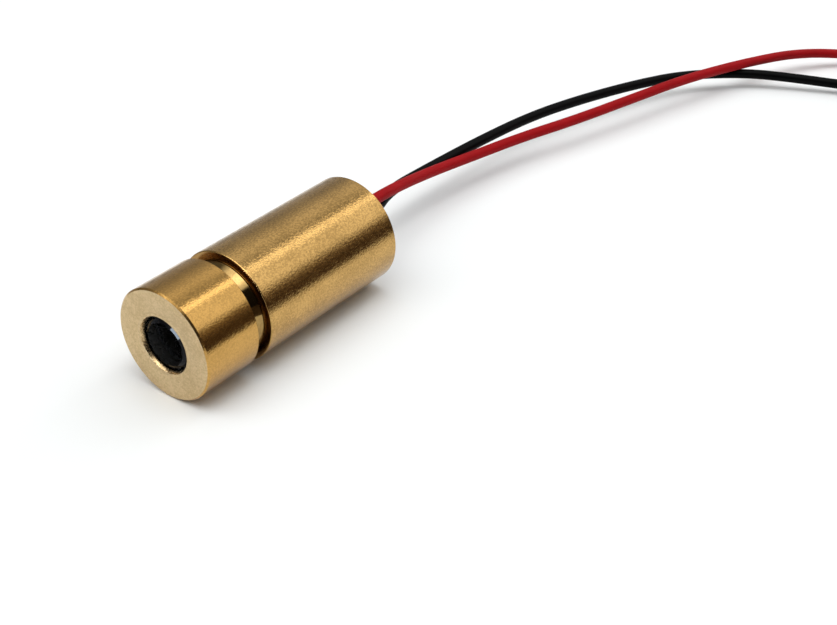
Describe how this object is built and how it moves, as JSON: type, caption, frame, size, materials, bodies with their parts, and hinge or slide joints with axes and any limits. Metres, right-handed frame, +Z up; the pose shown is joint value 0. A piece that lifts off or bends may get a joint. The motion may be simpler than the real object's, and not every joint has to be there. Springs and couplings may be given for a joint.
{
  "type": "laser diode module",
  "caption": "Small cylindrical brass laser diode module with a screw-in focusing lens cap, round front aperture and red and black leads from the rear.",
  "frame": {"origin": "on the surface that the module lies on, under the middle of its length", "axes": "+Z up; the barrel's axis runs along Y, 3 mm above the origin, and the beam leaves towards -Y"},
  "size_m": [0.0261, 0.0617, 0.006],
  "materials": {
    "brass": "turned, lightly grained",
    "lens_plastic": "clear polished",
    "spring_steel": "drawn wire",
    "stem_gold": "gold plated",
    "seal_glass": "fused",
    "lead_gold": "gold plated",
    "can_metal": "nickel plated",
    "window_glass": "polished",
    "submount_copper": "gold plated copper",
    "chip_dark": "cleaved",
    "photodiode_dark": "polished",
    "board_green": "solder mask",
    "resistor_black": "fired film",
    "capacitor_tan": "fired ceramic",
    "transistor_black": "moulded",
    "solder": "flowed",
    "copper_core": "tinned copper",
    "glue_black": "set resin",
    "wire_red": "smooth",
    "wire_black": "smooth",
    "coil_wire": "smooth",
    "tie_white": "paper strip",
    "tinned_tip": "tinned strands"
  },
  "bodies": {
    "housing": {"barrel": "brass", "lens_spring": "spring_steel", "diode_stem": "stem_gold", "lead_seals": "seal_glass", "diode_leads": "lead_gold", "diode_can": "can_metal", "diode_window": "window_glass", "chip_submount": "submount_copper", "laser_chip": "chip_dark", "monitor_photodiode": "photodiode_dark", "driver_board": "board_green", "current_resistor": "resistor_black", "filter_capacitor": "capacitor_tan", "driver_transistor": "transistor_black", "solder_joints": "solder", "red_core": "copper_core", "black_core": "copper_core", "rear_glue": "glue_black", "red_wire": "wire_red", "black_wire": "wire_black", "wire_coil": "coil_wire", "coil_tie": "tie_white", "red_tip": "tinned_tip", "black_tip": "tinned_tip"},
    "lens_carrier": {"collimating_lens": "lens_plastic"},
    "cap": {"lens_cap": "brass"}
  },
  "joints": [
    {"name": "focus_travel", "type": "slide", "parent": "housing", "child": "lens_carrier", "axis": [0, 1, 0], "range_m": [-0.001, 0.00075], "deforming": ["lens_spring"]},
    {"name": "focus_turn", "type": "hinge", "parent": "lens_carrier", "child": "cap", "pos_m": [0, -0.007, 0.003], "axis": [0, 1, 0], "range_deg": [-720, 540]}
  ],
  "couplings": [
    {"joint": "focus_turn", "follows": "focus_travel", "rad_per_m": 12566}
  ]
}
